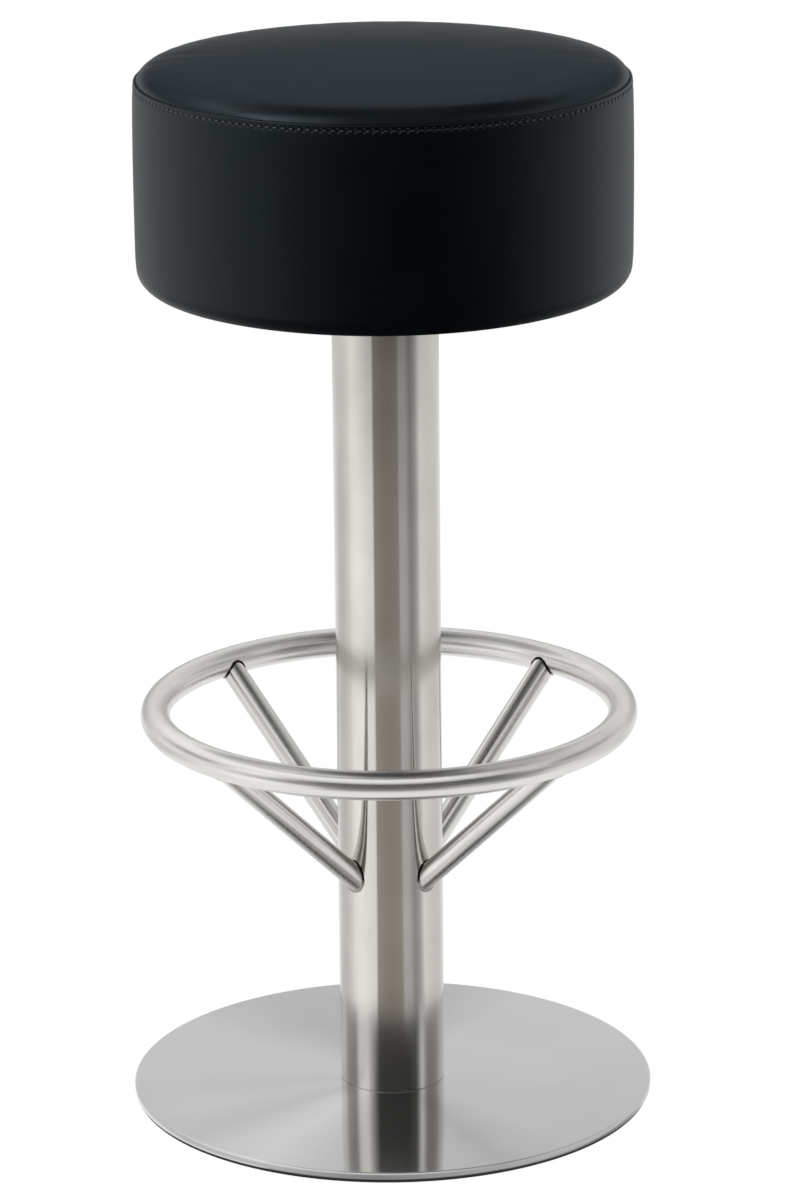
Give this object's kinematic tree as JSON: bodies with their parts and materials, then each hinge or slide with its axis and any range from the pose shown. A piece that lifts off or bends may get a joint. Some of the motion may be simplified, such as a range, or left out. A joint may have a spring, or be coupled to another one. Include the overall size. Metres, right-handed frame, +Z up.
{
  "type": "bar stool",
  "caption": "Backless bar stool: round floor plate, tubular steel column, ring footrest on struts and a padded drum seat that swivels.",
  "frame": {"origin": "middle of the floor ring's underside, on the floor", "axes": "+Z up along the column, -Y to the front, +X to the right of someone facing the stool"},
  "size_m": [0.3999, 0.4, 0.8108],
  "materials": {
    "floor_rubber": "matte",
    "ballast_iron": "matte",
    "turned_stainless": "satin",
    "plated_steel": "satin",
    "raw_steel": "satin",
    "column_stainless": "satin",
    "footrest_stainless": "satin",
    "bush_bronze": "satin",
    "bearing_steel": "gloss",
    "cage_brass": "satin",
    "painted_plate": "satin",
    "plywood": "matte",
    "padding": "matte",
    "black_leather": "satin",
    "dust_cloth": "matte"
  },
  "bodies": {
    "stand": {"floor_ring": "floor_rubber", "base_weight": "ballast_iron", "base_cover": "turned_stainless", "base_screws": "plated_steel", "column_foot_plate": "raw_steel", "column_tube": "column_stainless", "footrest_ring": "footrest_stainless", "footrest_strut_back_right": "footrest_stainless", "footrest_strut_back_left": "footrest_stainless", "footrest_strut_front_left": "footrest_stainless", "footrest_strut_front_right": "footrest_stainless", "bearing_housing": "raw_steel", "upper_bush": "bush_bronze", "lower_bush": "bush_bronze", "thrust_washer_lower": "bearing_steel"},
    "ball_cage": {"bearing_cage": "cage_brass", "bearing_balls": "bearing_steel"},
    "seat": {"thrust_washer_upper": "bearing_steel", "spindle": "raw_steel", "retaining_washer": "plated_steel", "retaining_clip": "plated_steel", "seat_plate": "painted_plate", "seat_washers": "plated_steel", "seat_bolts": "plated_steel", "tee_nuts": "plated_steel", "seat_board": "plywood", "seat_hoop": "plywood", "seat_deck": "plywood", "side_wadding": "padding", "seat_foam": "padding", "seat_cover_top": "black_leather", "seat_cover_band": "black_leather", "dust_cover": "dust_cloth"}
  },
  "joints": [
    {"name": "seat_swivel", "type": "hinge", "parent": "stand", "child": "seat", "pos_m": [0, 0, 0.6325], "axis": [0, 0, 1], "continuous": true},
    {"name": "cage_roll", "type": "hinge", "parent": "stand", "child": "ball_cage", "pos_m": [0, 0, 0.6325], "axis": [0, 0, 1], "continuous": true}
  ],
  "couplings": [
    {"joint": "cage_roll", "follows": "seat_swivel", "ratio": 0.5}
  ]
}
